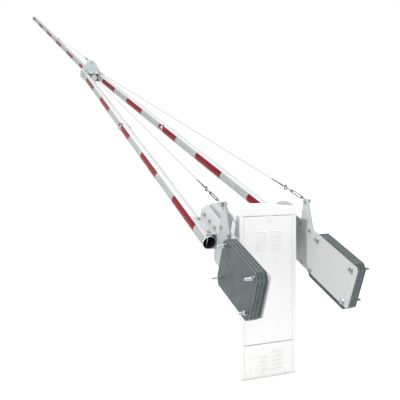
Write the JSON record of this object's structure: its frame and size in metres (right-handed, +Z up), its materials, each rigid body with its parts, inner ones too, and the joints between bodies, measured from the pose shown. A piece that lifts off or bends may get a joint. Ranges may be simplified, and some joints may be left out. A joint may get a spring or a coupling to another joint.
{
  "type": "parking barrier gate",
  "caption": "Long-arm parking barrier gate: white steel cabinet, twin converging arm tubes with wire stays, a striped tip tube, and stacked steel counterweights.",
  "frame": {"origin": "centre of the cabinet's base on the ground, at the middle of the anchor hole pattern", "axes": "+X to the right along the main shaft, +Y along the boom towards its tip, +Z up; the boom is stored part-raised at 21.2 degrees above horizontal"},
  "size_m": [0.864, 10.437, 4.7061],
  "materials": {
    "plinth_black": "matte",
    "zinc_steel": "satin",
    "casing_white": "satin",
    "label_grey": "satin",
    "seal_rubber": "matte",
    "bearing_blue": "satin",
    "drive_blue": "satin",
    "black_plastic": "matte",
    "box_grey": "satin",
    "lock_chrome": "polished",
    "gear_steel": "satin",
    "arm_white": "satin",
    "bolt_zinc": "satin",
    "weight_steel": "satin",
    "plate_white": "satin",
    "tube_white": "satin",
    "tape_red": "gloss",
    "tape_white": "gloss",
    "cable_steel": "satin",
    "turnbuckle_steel": "satin"
  },
  "bodies": {
    "cabinet": {"base_plate": "plinth_black", "inner_frame": "zinc_steel", "left_side_panel": "casing_white", "right_side_panel": "casing_white", "front_panel": "casing_white", "lower_rear_panel": "casing_white", "lid": "casing_white", "panel_screws": "zinc_steel", "shaft_seals": "seal_rubber", "bearing_left": "bearing_blue", "bearing_right": "bearing_blue", "gearbox": "drive_blue", "motor": "drive_blue", "motor_cowl": "black_plastic", "gearmotor_plate": "zinc_steel", "buffer_bracket": "zinc_steel", "stop_buffers": "seal_rubber", "position_sensors": "black_plastic", "sensor_bracket": "zinc_steel", "control_box": "box_grey", "control_box_cover": "box_grey", "cable_glands": "black_plastic"},
    "door": {"upper_door": "casing_white", "label_plate": "label_grey", "lock_body": "lock_chrome"},
    "lock": {"lock_barrel": "lock_chrome"},
    "pinion": {"pinion": "gear_steel"},
    "boom": {"main_shaft": "gear_steel", "drive_sector": "gear_steel", "stop_lever": "gear_steel", "sensor_flag": "gear_steel", "hub_left": "arm_white", "hub_right": "arm_white", "arm_plate_left": "arm_white", "arm_plate_right": "arm_white", "arm_bolts": "bolt_zinc", "mast_left": "arm_white", "mast_right": "arm_white", "tube_channel_left": "arm_white", "tube_channel_right": "arm_white", "channel_bolts": "bolt_zinc", "weights_left": "weight_steel", "weights_right": "weight_steel", "weight_studs": "bolt_zinc", "side_tube_left": "tube_white", "side_tube_right": "tube_white", "splice_bolts": "bolt_zinc", "joint_face_plate": "plate_white", "joint_clamp_plates": "plate_white", "joint_bolts": "bolt_zinc", "tip_tube": "tube_white", "tip_cap": "black_plastic", "red_tape": "tape_red", "white_tape": "tape_white", "stay_cable_left": "cable_steel", "stay_cable_right": "cable_steel", "tip_stay_cable": "cable_steel", "turnbuckles": "turnbuckle_steel", "stay_eyes": "bolt_zinc"}
  },
  "joints": [
    {"name": "boom_hinge", "type": "hinge", "parent": "cabinet", "child": "boom", "pos_m": [0, 0, 0.93], "axis": [1, 0, 0], "range_deg": [-21.2, 67.8]},
    {"name": "pinion_spin", "type": "hinge", "parent": "cabinet", "child": "pinion", "pos_m": [0, 0, 0.73], "axis": [1, 0, 0], "range_deg": [-272, 86]},
    {"name": "door_tilt", "type": "hinge", "parent": "cabinet", "child": "door", "pos_m": [0, -0.2365, 0.2315], "axis": [1, 0, 0], "range_deg": [0, 60]},
    {"name": "lock_turn", "type": "hinge", "parent": "door", "child": "lock", "pos_m": [0.007, -0.236, 1.045], "axis": [0, 1, 0], "range_deg": [0, 90]}
  ],
  "couplings": [
    {"joint": "pinion_spin", "follows": "boom_hinge", "ratio": -4}
  ]
}
